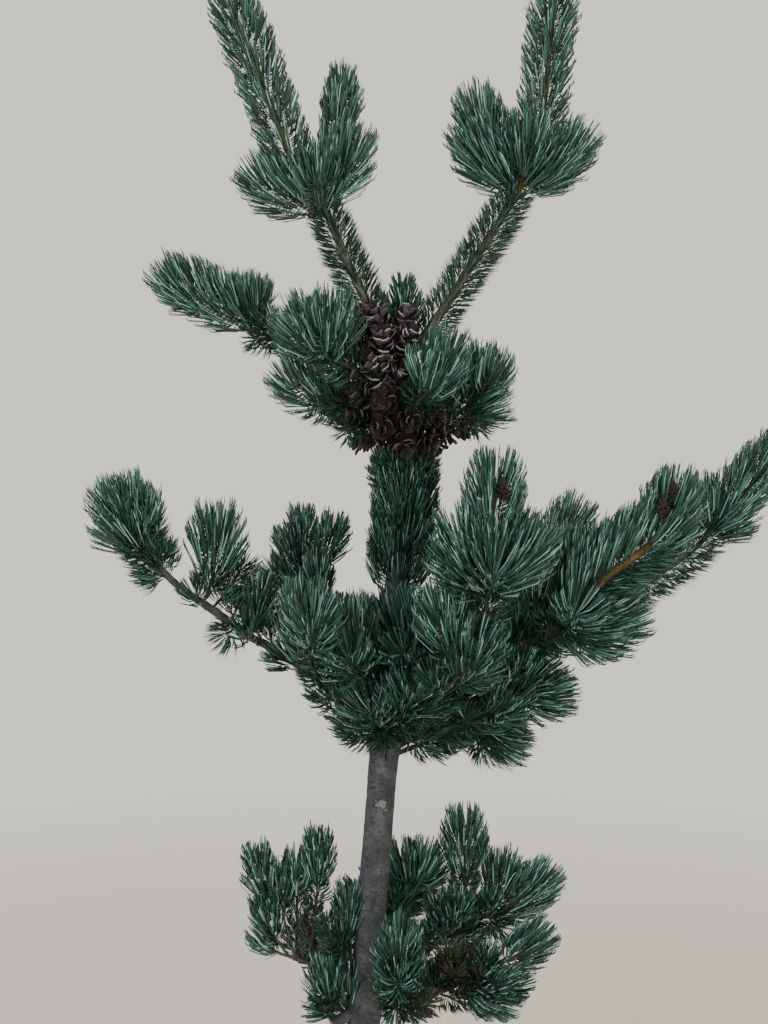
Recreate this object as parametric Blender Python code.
"""A Japanese white pine about two metres tall, rooted in the ground.

One trunk leans a little to the right, carries three whorls of boughs about 0.45 m apart and forks above
the topmost whorl into two arms, each with a whorl of shoots and a leader.
Every limb follows legs (length, bearing, rise) that are rounded into one curve.
Every mass of foliage is one stem with shoots, and its needles are drawn out of the faces of slim cores.

Units are metres and degrees. +Z is up, and the origin is the middle of the trunk's flat cut at the ground.
A bearing turns from +X (0) towards +Y (90). A rise is the angle above the horizontal.
"""

import math
import random
from typing import NamedTuple

import bmesh
import bpy
import numpy as np

# Clearances, and the steps of curves; TANGENT_REACH is a share of a curve's length
GAP = 0.0003
NEEDLE_CLEARANCE = 0.0012
CURVE_STEPS = 5
TANGENT_REACH = 0.02
CAP_WELD = 1e-5
SHORTEST_EDGE = 1e-6

# Trunk: legs up from the ground, and the radius as a taper, a root flare and a swelling under each whorl
TRUNK_LEGS = (
    (0.020, 0, 90),
    (0.400, 350, 86.0),
    (0.320, 10, 85.5),
    (0.250, 20, 85.2),
    (0.210, 340, 85.5),
    (0.165, 186, 81.5),
)
TRUNK_SIDES = 12
TRUNK_RINGS = 20
RING_CROWDING = 1.25
TRUNK_TOP_RADIUS = 0.0110
TRUNK_FOOT_RADIUS = 0.0270
TAPER_POWER = 0.40
FLARE = 0.015
FLARE_HEIGHT = 0.035
FLARE_TOP = 4 * FLARE_HEIGHT
ROOT_LOBES = 4
ROOT_LOBE_DEPTH = 0.16
ROOT_LOBE_TURN = 0.7
WHORL_HEIGHTS = (0.36, 0.79, 1.28)
WHORL_SWELLING = 0.0030
WHORL_SPREAD = 0.05

# Fork: both arms leave the trunk's tip; the crotch belongs to the trunk
ARM_LEGS = {
    "left_arm": ((0.105, 190, 74), (0.098, 190, 65), (0.085, 190, 67)),
    "right_arm": ((0.12, 10, 52), (0.14, 10, 57), (0.105, 10, 57)),
}
ARM_RADII = (0.0082, 0.0062)
CROTCH_LENGTH = 0.045
CROTCH_RINGS = 4
TRUNK_EXTRAS = ("stub", "left_arm_crotch", "right_arm_crotch")

# A limb that was sawn off close to the trunk
STUB_HEIGHT = 0.355
STUB_LEGS = ((0.062, 205, -22),)
STUB_RADIUS = 0.0085

# Boughs: height on the trunk, legs, radius at the trunk and at the tip
BOUGHS = {
    "left_lower_bough": (0.325, ((0.13, 180, 48),), 0.0068, 0.0055),
    "front_lower_bough": (0.365, ((0.09, 300, 22),), 0.0060, 0.0050),
    "right_lower_bough": (0.385, ((0.132, 12, 27),), 0.0068, 0.0055),
    "front_right_lower_bough": (0.345, ((0.130, 332, 22),), 0.0060, 0.0050),
    "back_lower_bough": (0.395, ((0.12, 85, 25),), 0.0060, 0.0050),
    "left_bough": (0.795, ((0.185, 182, 38), (0.08, 184, 30)), 0.0085, 0.0065),
    "front_left_bough": (0.770, ((0.14, 226, 40),), 0.0070, 0.0055),
    "back_left_bough": (0.825, ((0.19, 131, 42),), 0.0075, 0.0055),
    "back_bough": (0.795, ((0.17, 92, 25),), 0.0070, 0.0055),
    "back_right_bough": (0.835, ((0.25, 40, 30),), 0.0075, 0.0055),
    "right_front_bough": (0.800, ((0.19, 307, 30),), 0.0075, 0.0060),
    "right_bough": (0.840, ((0.24, 336, 26),), 0.0085, 0.0065),
    "right_long_bough": (0.805, ((0.30, 15, 22),), 0.0085, 0.0065),
    "right_low_bough": (0.770, ((0.15, 345, 20),), 0.0065, 0.0050),
    "upper_left_bough": (1.295, ((0.17, 178, 36),), 0.0065, 0.0050),
    "upper_right_bough": (1.268, ((0.10, 350, 22),), 0.0060, 0.0050),
}
LIMB_SIDES = 6
ARM_RINGS = 8


class Needle(NamedTuple):
    """Needles of a kind, and the core they stand out of.

    The opening is the angle to the twig, along a stretch and at its tip, and the lift is the pull towards
    the sky. The core has a radius and a step between its rings.
    """

    length: float
    opening: float
    tip_opening: float
    lift: float
    core: float
    step: float


NEEDLES = {
    "young": Needle(0.068, 58, 28, 0.26, 0.0066, 0.0280),
    "old": Needle(0.044, 62, 46, 0.08, 0.0058, 0.0320),
    "clasping": Needle(0.064, 52, 44, 0.10, 0.0030, 0.0290),
    "sparse": Needle(0.040, 54, 46, 0.00, 0.0030, 0.0280),
}

# Needles close towards a shoot's tip over CLOSING_LENGTH, and a needle that finds no room is tried shorter.
# NEEDLE_CHECKS are the shares of its length where its room is tested
CLOSING_LENGTH = 0.045
NEEDLE_LENGTHS = (1.0, 0.78, 0.58)
NEEDLE_LENGTH_JITTER = 0.10
NEEDLE_ROOT_SHARE = 0.55
NEEDLE_CHECKS = (0.30, 0.50, 0.70, 0.85, 1.0)
TIP_SPACING = 0.008
SPARSE_SKIP = 0.45
SEED = 1107
LIMB_OWNER = "limbs"

# Cores of stems and shoots: shares of the length for the lead into a dressed stretch and for the shortest
# bare stretch, the longest step between rings, and the last ring's share of the radius
CORE_SIDES = 3
CORE_STEP = 0.004
CORE_LEAD = 0.03
SHORTEST_BARE = 0.04
LONGEST_STEP = 0.045
CORE_TIP = 0.55
COURSE_SAMPLES = 61
END_FACE_COSINE = 0.8

# Dresses: stretches of needles along a shoot, as (kind, from share, to share)
DRESSES = {
    "bare": (),
    "old": (("old", 0.18, 1.0),),
    "young": (("young", 0.15, 1.0),),
    "tuft": (("young", 0.42, 1.0),),
    "clad": (("old", 0.22, 0.56), ("young", 0.56, 1.0)),
}
TWIG_RADIUS = 0.0030
STEM_RADIUS = 0.0048
SHOOT_LIFT = 26
STEEPEST = 89


def whorl(share, count, first_bearing, rise, length, dress="young"):
    """Shoots spread evenly round a stem at one place, as rows of a mass's table."""
    turn = 360 / count
    return tuple((share, length, first_bearing + k * turn, rise, dress) for k in range(count))


# Masses: what carries the stem (a bough's tip or a height on the trunk), the stem's legs, its dress,
# and the shoots as (share of the stem, length, bearing, rise, dress)
MASSES = {
    "left_lower_foliage": (
        "left_lower_bough", ((0.035, 180, 15), (0.022, 182, 8)), "bare",
        (
            (1.0, 0.035, 180, 0, "young"),
            (0.6, 0.100, 195, 72, "tuft"),
            (0.1, 0.175, 178, 63, "clad"),
            (0.2, 0.162, 100, 80, "tuft"),
            (0.1, 0.080, 90, 55, "tuft"),
            (0.7, 0.050, 215, 70, "old"),
        ),
    ),
    "left_inner_lower_foliage": (
        0.405, ((0.050, 195, 45),), "bare",
        ((1.0, 0.095, 180, 84, "tuft"), (0.9, 0.080, 190, 50, "tuft"), (0.8, 0.050, 235, 35, "old")),
    ),
    "front_left_lower_foliage": (
        0.335, ((0.078, 246, 24),), "bare",
        ((1.0, 0.070, 225, 65, "young"), (0.8, 0.070, 262, 5, "tuft"), (0.7, 0.060, 195, 25, "old")),
    ),
    "front_lower_foliage": (
        "front_lower_bough", ((0.030, 300, 30),), "bare",
        (
            (1.0, 0.070, 272, 18, "young"),
            (0.5, 0.105, 288, 64, "tuft"),
            (0.4, 0.070, 318, 4, "young"),
            (0.8, 0.060, 246, -8, "young"),
        ),
    ),
    "right_lower_foliage": (
        "right_lower_bough", ((0.072, 12, 26), (0.045, 8, 22)), (("old", 0.2, 1.0),),
        (
            (0.45, 0.165, 90, 87, "clad"),
            (1.0, 0.080, 5, 32, "young"),
            (0.9, 0.070, 70, 50, "tuft"),
            (0.1, 0.085, 300, 55, "tuft"),
        ),
    ),
    "front_right_lower_foliage": (
        "front_right_lower_bough", ((0.072, 345, 27), (0.058, 355, 28)), (("old", 0.3, 1.0),),
        (
            (1.0, 0.070, 358, 30, "young"),
            (0.6, 0.090, 305, 10, "tuft"),
            (0.2, 0.070, 300, 78, "old"),
            (0.5, 0.060, 325, -16, "young"),
        ),
    ),
    "right_inner_lower_foliage": (
        0.425, ((0.130, 38, 48),), "bare",
        ((1.0, 0.050, 150, 70, "young"), (1.0, 0.055, 10, 64, "young"), (0.85, 0.040, 80, 20, "old")),
    ),
    "back_lower_foliage": (
        "back_lower_bough", ((0.060, 80, 35),), (("old", 0.3, 1.0),),
        whorl(1.0, 5, 60, 36, 0.060) + whorl(0.35, 2, 0, 25, 0.060),
    ),
    "back_left_lower_foliage": (
        0.355, ((0.115, 130, 20),), "bare",
        whorl(1.0, 4, 130, 36, 0.050),
    ),
    "left_tip_foliage": (
        "left_bough", ((0.080, 182, 36), (0.072, 182, 36), (0.088, 180, 50), (0.060, 178, 70)),
        (("old", 0.36, 0.76), ("young", 0.76, 1.0)),
        (
            (0.29, 0.120, 10, 76, "clad"),
            (0.26, 0.100, 35, 52, "tuft"),
            (0.06, 0.080, 60, 82, "tuft"),
        ),
    ),
    "left_front_foliage": (
        "front_left_bough", ((0.075, 215, 52),), (("old", 0.3, 0.9),),
        (
            (1.0, 0.080, 290, 62, "young"),
            (1.0, 0.062, 172, 42, "young"),
            (0.8, 0.085, 205, 66, "tuft"),
        ),
    ),
    "front_foliage": (
        0.820, ((0.115, 250, 40),), (("old", 0.5, 0.95),),
        ((1.0, 0.075, 243, 32, "young"), (0.8, 0.105, 195, 72, "tuft")),
    ),
    "front_upper_foliage": (
        0.862, ((0.100, 300, 48),), "bare",
        (
            (1.0, 0.055, 20, 78, "young"),
            (0.8, 0.080, 175, 74, "tuft"),
            (1.0, 0.060, 258, 15, "young"),
            (0.8, 0.050, 350, 30, "old"),
        ),
    ),
    "front_low_foliage": (
        0.765, ((0.060, 272, 22),), "bare",
        (
            (1.0, 0.070, 248, 22, "young"),
            (0.8, 0.120, 300, 44, "tuft"),
            (1.0, 0.040, 262, -18, "old"),
            (0.8, 0.050, 200, 12, "old"),
        ),
    ),
    "back_left_foliage": (
        "back_left_bough", ((0.095, 138, 48),), (("old", 0.2, 0.95),),
        (
            (1.0, 0.075, 100, 84, "young"),
            (1.0, 0.080, 350, 52, "young"),
            (1.0, 0.070, 185, 50, "young"),
            (1.0, 0.060, 80, 30, "young"),
            (0.4, 0.080, 262, 58, "tuft"),
            (0.5, 0.090, 205, 35, "tuft"),
        ),
    ),
    "back_foliage": (
        "back_bough", ((0.070, 88, 35),), (("old", 0.2, 0.95),),
        whorl(1.0, 5, 18, 32, 0.060) + ((1.0, 0.045, 90, 80, "young"),),
    ),
    "back_right_foliage": (
        "back_right_bough", ((0.150, 32, 35), (0.105, 26, 50)),
        (("old", 0.1, 0.7), ("young", 0.7, 1.0)),
        (
            (0.55, 0.065, 100, 40, "young"),
            (0.60, 0.065, 330, 28, "young"),
            (0.22, 0.070, 85, 35, "young"),
            (0.25, 0.065, 350, 25, "young"),
        ),
    ),
    "right_front_foliage": (
        "right_front_bough", ((0.080, 308, 50), (0.090, 330, 76), (0.150, 0, 87)),
        (("old", 0.12, 0.52), ("young", 0.56, 1.0)),
        (
            (0.50, 0.090, 190, 64, "tuft"),
            (0.53, 0.065, 215, 26, "young"),
            (0.53, 0.085, 350, 44, "young"),
            (0.50, 0.055, 275, 25, "young"),
            (0.02, 0.100, 293, 34, "tuft"),
            (0.10, 0.105, 232, 62, "tuft"),
        ),
    ),
    "right_foliage": (
        "right_bough", ((0.085, 336, 28), (0.090, 350, 48), (0.090, 355, 38), (0.060, 355, 62)),
        (("old", 0.06, 0.22), ("young", 0.30, 1.0)),
        (
            (0.27, 0.085, 0, -4, "young"),
            (0.26, 0.060, 335, -24, "young"),
            (0.24, 0.060, 285, 20, "young"),
            (0.28, 0.100, 22, 20, "tuft"),
            (0.20, 0.120, 10, 72, "tuft"),
            (0.14, 0.115, 165, 74, "tuft"),
            (0.90, 0.050, 40, 58, "young"),
        ),
    ),
    "right_long_foliage": (
        "right_long_bough",
        ((0.190, 16, 31), (0.115, 12, 32), (0.050, 10, 44), (0.060, 5, 50), (0.115, 3, 46)),
        (("old", 0.22, 0.66), ("young", 0.70, 1.0)),
        (
            (0.675, 0.055, 175, 70, "young"),
            (0.675, 0.060, 345, 6, "young"),
            (0.675, 0.055, 80, 25, "young"),
            (0.120, 0.070, 75, 35, "young"),
        ),
    ),
    "right_low_foliage": (
        "right_low_bough", ((0.080, 342, 36), (0.050, 350, 34)),
        (("old", 0.15, 0.55), ("young", 0.55, 1.0)),
        (
            (0.60, 0.070, 275, 52, "tuft"),
            (0.65, 0.055, 335, -8, "young"),
            (0.20, 0.070, 300, 22, "tuft"),
            (0.20, 0.065, 35, 15, "tuft"),
        ),
    ),
    "right_drooping_foliage": (
        0.752, ((0.150, 16, 17), (0.055, 5, -8)), (("old", 0.3, 0.7), ("young", 0.7, 1.0)),
        (
            (0.80, 0.045, 288, -42, "old"),
            (0.80, 0.050, 340, -28, "young"),
            (0.60, 0.060, 80, 5, "young"),
        ),
    ),
    "upper_left_foliage": (
        "upper_left_bough", ((0.090, 178, 36), (0.055, 182, 20), (0.105, 182, 24)),
        (("old", 0.10, 0.36), ("young", 0.40, 1.0)),
        (
            (0.36, 0.035, 20, 66, "young"),
            (0.36, 0.045, 160, 60, "young"),
            (0.25, 0.045, 195, -10, "old"),
            (0.50, 0.055, 95, 30, "young"),
        ),
    ),
    "upper_front_left_foliage": (
        1.318, ((0.100, 222, 32), (0.050, 210, 22)), "bare",
        (
            (1.0, 0.070, 190, 80, "young"),
            (1.0, 0.065, 185, 45, "young"),
            (1.0, 0.050, 268, 42, "young"),
        ),
    ),
    "upper_low_left_foliage": (
        1.262, ((0.135, 195, 33),), (("old", 0.35, 1.0),),
        ((1.0, 0.075, 185, 28, "young"), (0.8, 0.055, 205, -4, "old"), (0.5, 0.042, 215, -28, "old")),
    ),
    "upper_front_right_foliage": (
        1.290, ((0.105, 297, 24),), "bare",
        ((1.0, 0.055, 262, 72, "young"), (0.9, 0.085, 20, 66, "tuft"), (1.0, 0.055, 325, 28, "young")),
    ),
    "upper_right_foliage": (
        "upper_right_bough", ((0.042, 350, 38),), (("old", 0.2, 0.9),),
        (
            (1.0, 0.040, 100, 75, "young"),
            (1.0, 0.045, 0, 44, "young"),
            (0.3, 0.050, 352, -4, "young"),
            (0.1, 0.050, 310, -25, "old"),
            (0.8, 0.060, 62, 22, "young"),
        ),
    ),
    "upper_back_foliage": (
        1.285, ((0.100, 80, 32),), "bare",
        whorl(1.0, 4, 35, 36, 0.055) + ((1.0, 0.035, 80, 80, "young"),),
    ),
    "upper_back_left_foliage": (
        1.262, ((0.105, 145, 22),), "bare",
        whorl(1.0, 4, 145, 36, 0.050),
    ),
    "left_top_foliage": (
        "left_arm", ((0.066, 195, 50), (0.160, 183, 67), (0.130, 182, 66)), (("young", 0.14, 1.0),),
        (
            (0.02, 0.125, 182, 12, "young"),
            (0.03, 0.085, 352, 52, "young"),
            (0.05, 0.160, 30, 80, "young"),
            (0.03, 0.050, 262, 30, "young"),
            (0.03, 0.075, 100, 35, "young"),
        ),
    ),
    "right_top_foliage": (
        "right_arm", ((0.090, 10, 66), (0.150, 5, 83), (0.090, 2, 84)), (("young", 0.14, 1.0),),
        (
            (0.02, 0.145, 170, 63, "young"),
            (0.02, 0.070, 188, 34, "young"),
            (0.04, 0.105, 355, 28, "young"),
            (0.02, 0.060, 335, -4, "young"),
            (0.06, 0.075, 275, 55, "young"),
            (0.03, 0.080, 85, 38, "young"),
        ),
    ),
    "crotch_foliage": (
        1.345, ((0.030, 70, 60), (0.085, 20, 80)), "bare",
        ((1.0, 0.050, 80, 86, "old"), (0.8, 0.045, 12, 70, "old"), (0.8, 0.045, 170, 72, "old")),
    ),
}

# Needles that clothe a limb directly: the limb, the stretch of its length, the kind and the core's sides
SLEEVES = {
    "trunk_needles": ("trunk", 0.765, 0.890, "clasping", 8),
    "left_arm_needles": ("left_arm", 0.22, 0.93, "sparse", 6),
    "right_arm_needles": ("right_arm", 0.16, 0.93, "sparse", 6),
}
SLEEVE_WALL = 0.0028
SLEEVE_OVERRUN = 0.01
SLEEVE_SAMPLES = 8

# Open cones, in two clusters close round the fork: the height of the cluster's stem on the trunk, and each
# cone's height, bearing from the trunk, distance from its axis, and the way it points as bearing and rise
CONES = {
    "upper_cones": (
        1.350,
        (
            (1.375, 223, 0.050, 220, 20),
            (1.390, 276, 0.042, 280, 25),
            (1.420, 229, 0.040, 225, 50),
            (1.435, 284, 0.036, 285, 60),
            (1.415, 318, 0.042, 325, 30),
        ),
    ),
    "lower_cones": (
        1.238,
        (
            (1.252, 258, 0.046, 258, -20),
            (1.244, 312, 0.058, 316, -15),
            (1.262, 214, 0.060, 214, -5),
            (1.312, 262, 0.052, 262, 10),
            (1.280, 332, 0.086, 335, -5),
            (1.338, 296, 0.050, 300, 20),
        ),
    ),
}
CONE_LENGTH = 0.056
CONE_RADIUS = 0.0175
CONE_SEGMENTS = 5
CONE_RINGS = 4
CONE_BREADTH = 1.12
CONE_TAPER = 0.30
CONE_STALK_RADIUS = STEM_RADIUS
CONE_STALK_SIDES = 4
CLUSTER_STEM_RADIUS = 0.0077
CLUSTER_STEM_SIDES = 6
SCALE_REACH = 0.010
SCALE_LEVELLING = 0.6
SCALE_LEAN = 0.5
STEM_ROOM = 1.2
MASSES_NEAR_CONES = ("upper", "crotch")

# Colours and finish: base colour, roughness
BARK = ((0.150, 0.125, 0.108), 0.82)
NEEDLE_GREEN = ((0.045, 0.125, 0.095), 0.55)
CONE_BROWN = ((0.050, 0.036, 0.032), 0.75)


def heading(bearing, rise):
    """Unit vector of a bearing and a rise."""
    b, r = math.radians(bearing), math.radians(rise)
    return np.array([math.cos(r) * math.cos(b), math.cos(r) * math.sin(b), math.sin(r)])


def rounded(nodes):
    """A Catmull-Rom curve through the nodes, as points."""
    nodes = np.array(nodes)
    if len(nodes) < 3:
        shares = np.linspace(0, 1, CURVE_STEPS)[:, None]
        return nodes[0] + (nodes[-1] - nodes[0]) * shares
    padded = np.vstack([2 * nodes[0] - nodes[1], nodes, 2 * nodes[-1] - nodes[-2]])
    points = [nodes[0]]
    for a, b, c, d in zip(padded, padded[1:], padded[2:], padded[3:]):
        for t in np.linspace(0, 1, CURVE_STEPS)[1:]:
            bend = (2 * a - 5 * b + 4 * c - d) * t**2 + (3 * b - a - 3 * c + d) * t**3
            points.append(0.5 * (2 * b + (c - a) * t + bend))
    return np.array(points)


def along_legs(start, legs):
    """The rounded curve that starts at a point and follows legs (length, bearing, rise)."""
    nodes = [np.array(start, float)]
    for length, bearing, rise in legs:
        nodes.append(nodes[-1] + length * heading(bearing, rise))
    return rounded(nodes)


def shoot_course(start, length, bearing, rise):
    """A shoot's curve: it turns up towards the sky by SHOOT_LIFT from its base to its tip."""
    points = [np.array(start, float)]
    for k in range(CURVE_STEPS):
        turn = SHOOT_LIFT * ((k + 0.5) / CURVE_STEPS - 0.5)
        points.append(points[-1] + length / CURVE_STEPS * heading(bearing, min(STEEPEST, rise + turn)))
    return np.array(points)


def lengths_along(points):
    """Distance from the first point to each point, along the curve."""
    return np.concatenate([[0], np.cumsum(np.linalg.norm(np.diff(points, axis=0), axis=1))])


def at_share(points, shares):
    """Points at shares of a curve's length."""
    run = lengths_along(points)
    wanted = np.asarray(shares) * run[-1]
    return np.stack([np.interp(wanted, run, points[:, k]) for k in range(3)], axis=-1)


def tangent_at(points, share):
    """Unit tangent at a share of a curve's length."""
    a, b = at_share(points, [max(0, share - TANGENT_REACH), min(1, share + TANGENT_REACH)])
    return (b - a) / np.linalg.norm(b - a)


def at_height(points, height):
    """The point of a rising curve at a height."""
    return np.array([np.interp(height, points[:, 2], points[:, k]) for k in range(3)])


def trunk_radius(height, top):
    """Taper to the power TAPER_POWER, plus the root flare and the whorls' swellings."""
    share = max(0.0, 1 - height / top)
    radius = TRUNK_TOP_RADIUS + (TRUNK_FOOT_RADIUS - TRUNK_TOP_RADIUS) * share**TAPER_POWER
    radius += FLARE * math.exp(-height / FLARE_HEIGHT)
    for whorl_height in WHORL_HEIGHTS:
        radius += WHORL_SWELLING * math.exp(-(((height - whorl_height) / WHORL_SPREAD) ** 2))
    return radius


class Limb(NamedTuple):
    """A limb's curve and the radius at each of its points."""

    points: np.ndarray
    radii: np.ndarray

    def stretch(self, first, last, count):
        """The part of the limb between two shares of its length, with evenly spaced points."""
        run = lengths_along(self.points)
        shares = np.linspace(first, last, count)
        return Limb(at_share(self.points, shares), np.interp(shares * run[-1], run, self.radii))


def trunk_limb():
    """The trunk, with rings that crowd towards its foot and a foot that stands upright on the ground."""
    course = along_legs((0, 0, 0), TRUNK_LEGS)
    top = course[-1, 2]
    heights = top * np.linspace(0, 1, TRUNK_RINGS) ** RING_CROWDING
    points = np.array([at_height(course, height) for height in heights])
    points[0] = (0, 0, 0)
    points[1, :2] = 0
    radii = np.array([trunk_radius(height, top) for height in heights])
    return Limb(points, radii)


def limb_from(start, legs, radius, tip_radius):
    """A limb along legs that tapers evenly from one radius to the other."""
    points = along_legs(start, legs)
    run = lengths_along(points)
    return Limb(points, radius + (tip_radius - radius) * run / run[-1])


def all_limbs():
    """Every limb by name. Boughs start on the trunk's axis, arms where the crotch ends."""
    trunk = trunk_limb()
    limbs = {"trunk": trunk}
    for name, legs in ARM_LEGS.items():
        whole = limb_from(trunk.points[-1], legs, *ARM_RADII)
        length = lengths_along(whole.points)[-1]
        limbs[name] = whole.stretch((CROTCH_LENGTH + GAP) / length, 1.0, ARM_RINGS)
        limbs[name + "_crotch"] = whole.stretch(0.0, CROTCH_LENGTH / length, CROTCH_RINGS)
    for name, (height, legs, radius, tip_radius) in BOUGHS.items():
        limbs[name] = limb_from(at_height(trunk.points, height), legs, radius, tip_radius)
    limbs["stub"] = limb_from(at_height(trunk.points, STUB_HEIGHT), STUB_LEGS, STUB_RADIUS, STUB_RADIUS)
    return limbs


class Brush(NamedTuple):
    """A stem or shoot: its curve, the twig's radius, and its stretches of needles."""

    points: np.ndarray
    radius: float
    dress: tuple


def mass_brushes(name, limbs):
    """The stem of a mass and its shoots, each as a Brush."""
    carrier, legs, stem_dress, shoots = MASSES[name]
    if isinstance(carrier, str):
        tip = limbs[carrier].points[-1]
        onward = tangent_at(limbs[carrier].points, 1.0)
        lead = tip + onward * CORE_STEP
        course = np.vstack([tip - onward * GAP, along_legs(lead, legs)])
        radius = min(STEM_RADIUS, limbs[carrier].radii[-1])
    else:
        course = along_legs(at_height(limbs["trunk"].points, carrier), legs)
        radius = STEM_RADIUS
    dress = DRESSES[stem_dress] if isinstance(stem_dress, str) else stem_dress
    brushes = [Brush(course, radius, dress)]
    for share, length, bearing, rise, shoot_dress in shoots:
        start = at_share(course, share)
        brushes.append(Brush(shoot_course(start, length, bearing, rise), TWIG_RADIUS, DRESSES[shoot_dress]))
    return brushes


def brush_core(brush):
    """The slim core of a brush as a Limb: a ring wherever the dress or a long step needs one."""
    length = lengths_along(brush.points)[-1]
    rings = {0.0: brush.radius, 1.0: brush.radius}
    bare_until = 0.0
    for kind, first, last in brush.dress:
        needle = NEEDLES[kind]
        count = max(2, round((last - first) * length / needle.step))
        if first - bare_until > SHORTEST_BARE:
            rings[max(first - CORE_LEAD, bare_until)] = brush.radius
        for share in np.linspace(first, last, count + 1):
            rings[float(share)] = needle.core
        bare_until = last
    places = sorted(rings)
    for a, b in zip(places, places[1:]):
        extra = int((b - a) * length / LONGEST_STEP)
        for k in range(1, extra + 1):
            part = k / (extra + 1)
            rings[a + (b - a) * part] = rings[a] + (rings[b] - rings[a]) * part
    places = np.array(sorted(rings))
    radii = np.array([rings[place] for place in places])
    if brush.dress and brush.dress[-1][2] >= 1.0:
        radii[-1] *= CORE_TIP
    return Limb(at_share(brush.points, places), radii)


def sleeve_limb(name, limbs, count):
    """The outside of a sleeve: its limb's stretch, thicker by the sleeve's wall."""
    limb_name, first, last, _, _ = SLEEVES[name]
    bare = limbs[limb_name].stretch(first, last, count)
    return Limb(bare.points, bare.radii + SLEEVE_WALL)


def cone_places(name, limbs):
    """Centre, bearing and rise of each cone of a cluster."""
    places = []
    for height, bearing, distance, point_bearing, point_rise in CONES[name][1]:
        foot = at_height(limbs["trunk"].points, height)
        foot[2] = height
        places.append((foot + distance * heading(bearing, 0), point_bearing, point_rise))
    return places


def collection_named(name):
    collection = bpy.data.collections.new(name)
    bpy.context.scene.collection.children.link(collection)
    return collection


def material(name, colour, roughness):
    made = bpy.data.materials.new(name)
    made.use_nodes = True
    shader = made.node_tree.nodes["Principled BSDF"]
    shader.inputs["Base Color"].default_value = (*colour, 1.0)
    shader.inputs["Roughness"].default_value = roughness
    shader.inputs["Metallic"].default_value = 0.0
    made.diffuse_color = (*colour, 1.0)
    return made


def evaluated_mesh(obj):
    """A new mesh of an object as its modifiers or its curve settings leave it."""
    bpy.context.view_layer.update()
    graph = bpy.context.evaluated_depsgraph_get()
    return bpy.data.meshes.new_from_object(obj.evaluated_get(graph))


def remove_object(obj):
    data = obj.data
    bpy.data.objects.remove(obj, do_unlink=True)
    if isinstance(data, bpy.types.Mesh):
        bpy.data.meshes.remove(data)
    else:
        bpy.data.curves.remove(data)


def profile(sides, collection):
    """A closed curve round a regular polygon of radius 1, as the cross-section of tubes."""
    curve = bpy.data.curves.new("profile", "CURVE")
    curve.dimensions = "2D"
    spline = curve.splines.new("POLY")
    spline.points.add(sides - 1)
    for k, place in enumerate(spline.points):
        turn = 2 * math.pi * (k + 0.5) / sides
        place.co = (math.cos(turn), math.sin(turn), 0.0, 1.0)
    spline.use_cyclic_u = True
    obj = bpy.data.objects.new("profile", curve)
    collection.objects.link(obj)
    return obj


def tube(name, limb, sides, collection):
    """A tube along a limb, from a curve with a polygon as its bevel and filled caps, as one closed mesh."""
    section = profile(sides, collection)
    curve = bpy.data.curves.new(name, "CURVE")
    curve.dimensions = "3D"
    curve.bevel_mode = "OBJECT"
    curve.bevel_object = section
    curve.use_fill_caps = True
    spline = curve.splines.new("POLY")
    spline.points.add(len(limb.points) - 1)
    for place, point, radius in zip(spline.points, limb.points, limb.radii):
        place.co = (*point, 1.0)
        place.radius = radius
    guide = bpy.data.objects.new(name, curve)
    collection.objects.link(guide)
    mesh = evaluated_mesh(guide)
    remove_object(guide)
    remove_object(section)
    shape = bmesh.new()
    shape.from_mesh(mesh)
    bmesh.ops.remove_doubles(shape, verts=shape.verts, dist=CAP_WELD)
    bmesh.ops.recalc_face_normals(shape, faces=shape.faces)
    shape.to_mesh(mesh)
    shape.free()
    obj = bpy.data.objects.new(name, mesh)
    collection.objects.link(obj)
    return obj


def boolean(obj, operation, collection):
    """Joins or cuts an object with every object of a collection, applies that and keeps one shell."""
    modifier = obj.modifiers.new(operation, "BOOLEAN")
    modifier.operation = operation
    modifier.operand_type = "COLLECTION"
    modifier.collection = collection
    modifier.solver = "EXACT"
    mesh = evaluated_mesh(obj)
    obj.modifiers.clear()
    old = obj.data
    obj.data = mesh
    bpy.data.meshes.remove(old)
    keep_largest_shell(mesh)


def shells_of(shape):
    """Groups of vertices that edges join to one another."""
    left = set(shape.verts)
    shells = []
    while left:
        shell, front = set(), [left.pop()]
        while front:
            vert = front.pop()
            shell.add(vert)
            fresh = [edge.other_vert(vert) for edge in vert.link_edges]
            fresh = [other for other in fresh if other in left]
            left.difference_update(fresh)
            front += fresh
        shells.append(shell)
    return shells


def keep_largest_shell(mesh):
    """Drops loose scraps and fills sealed hollows: only the shell with the widest box is left."""
    shape = bmesh.new()
    shape.from_mesh(mesh)
    bmesh.ops.dissolve_degenerate(shape, edges=shape.edges, dist=SHORTEST_EDGE)

    def box_volume(shell):
        return float(np.prod(np.ptp(np.array([vert.co for vert in shell]), axis=0)))

    shells = sorted(shells_of(shape), key=box_volume)
    scraps = [vert for shell in shells[:-1] for vert in shell]
    if scraps:
        bmesh.ops.delete(shape, geom=scraps, context="VERTS")
    shape.to_mesh(mesh)
    shape.free()


def fuse(pieces, collection, scratch):
    """One solid from overlapping pieces: the first takes a union with the rest."""
    base, *rest = pieces
    if rest:
        operands = collection_named("operands")
        for piece in rest:
            operands.objects.link(piece)
        boolean(base, "UNION", operands)
        for piece in rest:
            remove_object(piece)
        bpy.data.collections.remove(operands)
    scratch.objects.unlink(base)
    collection.objects.link(base)
    return base


def cut_clear(obj, cutters):
    """Cuts an object clear of the cutters, which are limbs swollen by GAP."""
    operands = collection_named("clearances")
    for cutter in cutters:
        operands.objects.link(cutter)
    boolean(obj, "DIFFERENCE", operands)
    bpy.data.collections.remove(operands)


def finish(obj, look):
    obj.data.materials.clear()
    obj.data.materials.append(look)
    obj.data.shade_flat()


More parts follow.
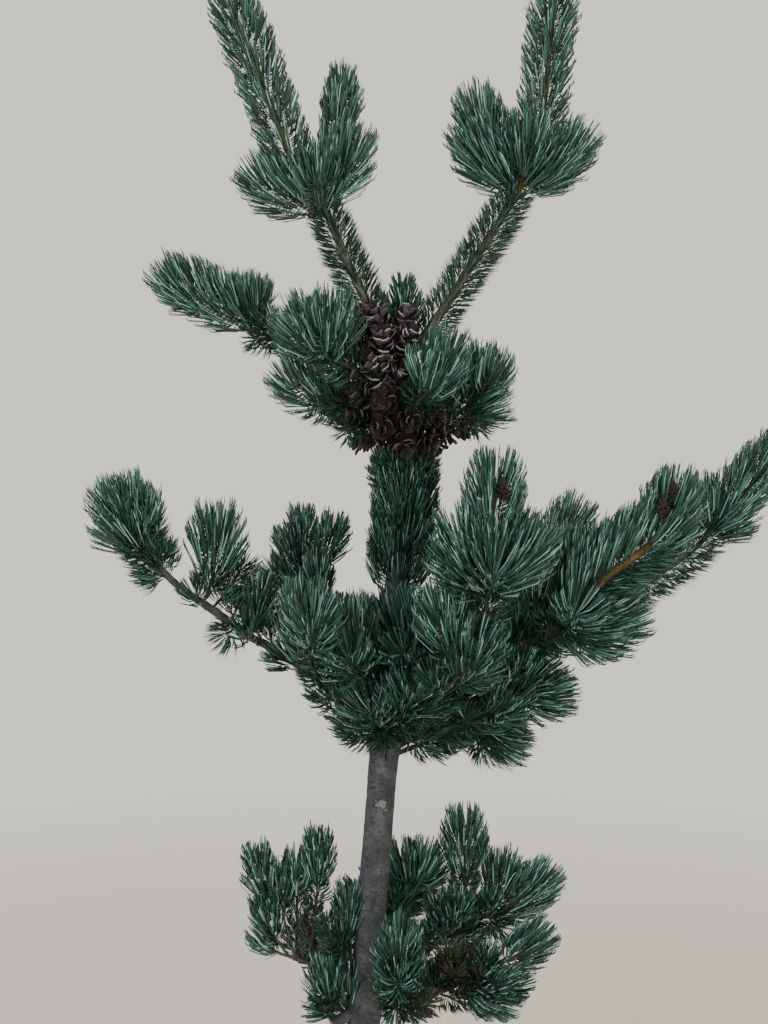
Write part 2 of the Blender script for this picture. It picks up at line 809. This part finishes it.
class Space:
    """What a needle keeps clear of: the limbs, the cores of all masses, and the needles placed before."""

    def __init__(self):
        self.starts, self.ends = [], []
        self.radii, self.owners, self.brushes = [], [], []
        self.needles = np.zeros((0, 6))
        self.needle_roots = np.zeros(0)

    def add_course(self, limb, owner, brush=0):
        """Takes up the room of a tube that belongs to an owner, LIMB_OWNER for a limb."""
        self.starts += list(limb.points[:-1])
        self.ends += list(limb.points[1:])
        self.radii += list(np.maximum(limb.radii[:-1], limb.radii[1:]))
        self.owners += [owner] * (len(limb.points) - 1)
        self.brushes += [brush] * (len(limb.points) - 1)

    def settle(self):
        """Turns the lists to arrays once every limb and core is in."""
        self.starts, self.ends = np.array(self.starts), np.array(self.ends)
        self.radii, self.owners = np.array(self.radii), np.array(self.owners)
        self.brushes = np.array(self.brushes)

    def admits(self, root, tip, half_width, owner, brush):
        """Whether a needle clears everything and stays nearer to its own mass than to any other."""
        shares = np.array(NEEDLE_CHECKS)
        places = root + (tip - root) * shares[:, None]
        widths = half_width * (1 - shares)
        gaps = nearest_on(places, self.starts, self.ends)[0] - self.radii
        own = self.owners == owner
        kin = own & (self.brushes != brush)
        limb = self.owners == LIMB_OWNER
        others = ~own & ~limb
        if (gaps[:, limb].min(axis=1) < widths + NEEDLE_CLEARANCE).any():
            return False
        margin = gaps[:, others].min(axis=1) - gaps[:, own].min(axis=1)
        if (margin < 2 * widths + NEEDLE_CLEARANCE).any():
            return False
        if kin.any() and (gaps[1:, kin].min(axis=1) < widths[1:]).any():
            return False
        if len(self.needles) == 0:
            return True
        near, where = nearest_on(places, self.needles[:, :3], self.needles[:, 3:])
        room = widths[:, None] + self.needle_roots * (1 - where) + NEEDLE_CLEARANCE / 3
        return bool((near >= room).all() and near[-1].min() >= TIP_SPACING)

    def take(self, root, tip, half_width):
        """Takes up the room of a needle."""
        self.needles = np.vstack([self.needles, np.concatenate([root, tip])])
        self.needle_roots = np.append(self.needle_roots, half_width)


def nearest_on(places, starts, ends):
    """Distances of places to segments, and the share of each segment nearest to each place."""
    way = ends - starts
    offset = places[:, None, :] - starts
    where = np.clip((offset * way).sum(-1) / np.maximum((way * way).sum(-1), 1e-12), 0, 1)
    return np.linalg.norm(offset - way * where[..., None], axis=-1), where


def needle_way(course, share, centre, needle, last):
    """The way a needle points: out of the core at an opening angle that closes at the tip, and upwards."""
    length = lengths_along(course)[-1]
    tangent = tangent_at(course, share)
    outward = centre - at_share(course, share)
    outward -= tangent * outward.dot(tangent)
    outward /= np.linalg.norm(outward)
    closing = max(0.0, 1 - (last - share) * length / CLOSING_LENGTH)
    opening = math.radians(needle.opening + (needle.tip_opening - needle.opening) * closing)
    way = tangent * math.cos(opening) + outward * math.sin(opening) + np.array([0, 0, needle.lift])
    return way / np.linalg.norm(way)


def draw_needles(obj, course, dress, space, owner, brush, rng):
    """Splits the core's faces along the dress into triangles and draws each one out to a needle's tip."""
    shape = bmesh.new()
    shape.from_mesh(obj.data)
    samples = at_share(course, np.linspace(0, 1, COURSE_SAMPLES))

    def share_of(face):
        gaps = np.linalg.norm(samples - np.array(face.calc_center_median()), axis=1)
        return int(np.argmin(gaps)) / (COURSE_SAMPLES - 1)

    def span_of(share, slack):
        spans = [span for span in dress if span[1] - slack <= share <= span[2] + slack]
        return spans[0] if spans else None

    dressed = []
    for face in shape.faces:
        share = share_of(face)
        on_end = abs(np.dot(face.normal, tangent_at(course, share))) >= END_FACE_COSINE
        if not on_end and span_of(share, 0.0):
            dressed.append(face)
    faces = bmesh.ops.triangulate(shape, faces=dressed)["faces"]
    faces.sort(key=lambda face: (round(share_of(face), 3), tuple(face.calc_center_median())))
    rng.shuffle(faces)
    for face in faces:
        share = share_of(face)
        kind, _, last = span_of(share, CORE_LEAD)
        if kind == "sparse" and rng.random() < SPARSE_SKIP:
            continue
        centre = np.array(face.calc_center_median())
        way = needle_way(course, share, centre, NEEDLES[kind], last)
        half_width = NEEDLE_ROOT_SHARE * math.sqrt(face.calc_area())
        length = NEEDLES[kind].length * (1 + NEEDLE_LENGTH_JITTER * (2 * rng.random() - 1))
        for reach in NEEDLE_LENGTHS:
            tip = centre + way * length * reach
            if space.admits(centre, tip, half_width, owner, brush):
                bmesh.ops.poke(shape, faces=[face])["verts"][0].co = tip
                space.take(centre, tip, half_width)
                break
    shape.to_mesh(obj.data)
    shape.free()


def cone_solid(name, centre, bearing, rise, collection):
    """An open cone: an egg, wider at its base, whose faces are drawn out to blunt scales."""
    shape = bmesh.new()
    bmesh.ops.create_uvsphere(shape, u_segments=CONE_SEGMENTS, v_segments=CONE_RINGS, radius=1.0)
    axis = heading(bearing, rise)
    side = np.cross(axis, (0, 0, 1))
    side /= np.linalg.norm(side)
    across = np.cross(axis, side)
    for vert in shape.verts:
        x, y, z = vert.co
        wide = CONE_RADIUS * (CONE_BREADTH - CONE_TAPER * z)
        vert.co = centre + side * x * wide + across * y * wide + axis * z * CONE_LENGTH / 2
    scales = [face for face in shape.faces if len(face.verts) == 4]
    for face in scales:
        middle = np.array(face.calc_center_median())
        outward = middle - centre
        outward -= axis * outward.dot(axis) * SCALE_LEVELLING
        outward /= np.linalg.norm(outward)
        point = bmesh.ops.poke(shape, faces=[face])["verts"][0]
        point.co = middle + (outward + axis * SCALE_LEAN) * SCALE_REACH
    bmesh.ops.triangulate(shape, faces=shape.faces)
    bmesh.ops.recalc_face_normals(shape, faces=shape.faces)
    mesh = bpy.data.meshes.new(name)
    shape.to_mesh(mesh)
    shape.free()
    obj = bpy.data.objects.new(name, mesh)
    collection.objects.link(obj)
    return obj


def clearance(limb, sides, name, collection, beyond=0.0, before=0.0):
    """A limb swollen by GAP and lengthened at its ends, as a cutter."""
    points = limb.points.copy()
    points[0] -= tangent_at(limb.points, 0.0) * before
    points[-1] += tangent_at(limb.points, 1.0) * beyond
    swollen = tube(name + "_clearance", Limb(points, limb.radii + GAP), sides, collection)
    swollen.hide_render = True
    swollen.display_type = "WIRE"
    return swollen


def limb_sides(name):
    return TRUNK_SIDES if name == "trunk" else LIMB_SIDES


def trunk_solid(limbs, parts, scratch, look):
    """The trunk with its root lobes, the sawn stub and the crotch of both arms, as one solid."""
    stem = tube("trunk", limbs["trunk"], TRUNK_SIDES, scratch)
    for vert in stem.data.vertices:
        if vert.co.z < FLARE_TOP:
            lobe = math.cos(ROOT_LOBES * math.atan2(vert.co.y, vert.co.x) + ROOT_LOBE_TURN)
            swell = 1 + ROOT_LOBE_DEPTH * math.exp(-vert.co.z / FLARE_HEIGHT) * lobe
            vert.co.x *= swell
            vert.co.y *= swell
    pieces = [stem] + [tube(name, limbs[name], LIMB_SIDES, scratch) for name in TRUNK_EXTRAS]
    finish(fuse(pieces, parts, scratch), look)


def limb_solids(limbs, limb_cutters, parts, look):
    """The arms and the boughs. A bough's base is cut clear of the trunk's skin and of the stub."""
    for name in [*ARM_LEGS, *BOUGHS]:
        limb = tube(name, limbs[name], LIMB_SIDES, parts)
        if name in BOUGHS:
            cut_clear(limb, [limb_cutters["trunk"], limb_cutters["stub"]])
        finish(limb, look)


def mass_solids(masses, space, limb_cutters, parts, scratch, look, rng):
    """The masses of foliage, each a stem with shoots fused to one solid, clear of what carries it."""
    for name, brushes in masses.items():
        pieces = []
        for k, brush in enumerate(brushes):
            core = tube(f"{name}_{k}", brush_core(brush), CORE_SIDES, scratch)
            draw_needles(core, brush.points, brush.dress, space, name, k, rng)
            pieces.append(core)
        pieces[0].name = name
        mass = fuse(pieces, parts, scratch)
        carrier = MASSES[name][0]
        carriers = (carrier,) if isinstance(carrier, str) else ("trunk", *TRUNK_EXTRAS)
        cut_clear(mass, [limb_cutters[key] for key in carriers])
        finish(mass, look)


def sleeve_solids(limbs, space, parts, scratch, cutters, look, rng):
    """The sleeves of needles, each a thin wall round its limb's stretch, bored clear of the limb."""
    for name, (limb_name, first, last, kind, sides) in SLEEVES.items():
        limb = limbs[limb_name]
        count = round((last - first) * lengths_along(limb.points)[-1] / NEEDLES[kind].step)
        outside = sleeve_limb(name, limbs, count + 1)
        core = tube(name, outside, sides, scratch)
        draw_needles(core, outside.points, ((kind, 0.0, 1.0),), space, name, 0, rng)
        sleeve = fuse([core], parts, scratch)
        bore = clearance(limb, limb_sides(limb_name), name, cutters, SLEEVE_OVERRUN, SLEEVE_OVERRUN)
        cut_clear(sleeve, [bore])
        finish(sleeve, look)


def stem_room(brush):
    """The room round a mass's stem that a cluster of cones leaves free."""
    radius = STEM_ROOM * max(brush.radius, NEEDLES["old"].core)
    return Limb(brush.points, np.full(len(brush.points), radius))


def cone_solids(limbs, masses, limb_cutters, parts, scratch, cutters, look):
    """The clusters of cones, each on a short stem, clear of the trunk, arms and masses near them."""
    rooms = [limb_cutters[name] for name in ("trunk", *TRUNK_EXTRAS, *ARM_LEGS)]
    for name, brushes in masses.items():
        if name.startswith(MASSES_NEAR_CONES):
            rooms.append(clearance(stem_room(brushes[0]), LIMB_SIDES, name, cutters))
    for name, (stem_height, _) in CONES.items():
        places = cone_places(name, limbs)
        foot = at_height(limbs["trunk"].points, stem_height)
        middle = np.mean([place[0] for place in places], axis=0)
        stem = Limb(np.array([foot, middle]), [CLUSTER_STEM_RADIUS] * 2)
        pieces = [tube(name, stem, CLUSTER_STEM_SIDES, scratch)]
        for k, (centre, bearing, rise) in enumerate(places):
            pieces.append(cone_solid(f"{name}_{k}", centre, bearing, rise, scratch))
            stalk = Limb(np.array([middle, centre]), [CONE_STALK_RADIUS] * 2)
            pieces.append(tube(f"{name}_stalk_{k}", stalk, CONE_STALK_SIDES, scratch))
        cluster = fuse(pieces, parts, scratch)
        cut_clear(cluster, rooms)
        finish(cluster, look)


def filled_space(limbs, masses):
    """The space with every limb, core, sleeve and cone in it, before the first needle."""
    space = Space()
    for limb in limbs.values():
        space.add_course(limb, LIMB_OWNER)
    for name, brushes in masses.items():
        for k, brush in enumerate(brushes):
            space.add_course(brush_core(brush), name, k)
    for name in SLEEVES:
        space.add_course(sleeve_limb(name, limbs, SLEEVE_SAMPLES), name)
    for name in CONES:
        for k, (centre, bearing, rise) in enumerate(cone_places(name, limbs)):
            half = heading(bearing, rise) * CONE_LENGTH / 2
            radii = np.full(2, CONE_RADIUS + SCALE_REACH)
            space.add_course(Limb(np.array([centre - half, centre + half]), radii), name, k)
    space.settle()
    return space


def main():
    for obj in list(bpy.data.objects):
        bpy.data.objects.remove(obj, do_unlink=True)
    parts = collection_named("japanese_white_pine")
    scratch = collection_named("scratch")
    cutters = collection_named("cutters")
    bark = material("smooth grey-brown pine bark", *BARK)
    green = material("blue-green pine needles", *NEEDLE_GREEN)
    brown = material("dry open pine cones", *CONE_BROWN)
    rng = random.Random(SEED)

    limbs = all_limbs()
    masses = {name: mass_brushes(name, limbs) for name in MASSES}
    space = filled_space(limbs, masses)
    limb_cutters = {}
    for name, limb in limbs.items():
        beyond = 0.0 if name == "trunk" else GAP
        limb_cutters[name] = clearance(limb, limb_sides(name), name, cutters, beyond)

    trunk_solid(limbs, parts, scratch, bark)
    limb_solids(limbs, limb_cutters, parts, bark)
    mass_solids(masses, space, limb_cutters, parts, scratch, green, rng)
    sleeve_solids(limbs, space, parts, scratch, cutters, green, rng)
    cone_solids(limbs, masses, limb_cutters, parts, scratch, cutters, brown)

    for cutter in list(cutters.objects):
        remove_object(cutter)
    bpy.data.collections.remove(cutters)
    bpy.data.collections.remove(scratch)


main()
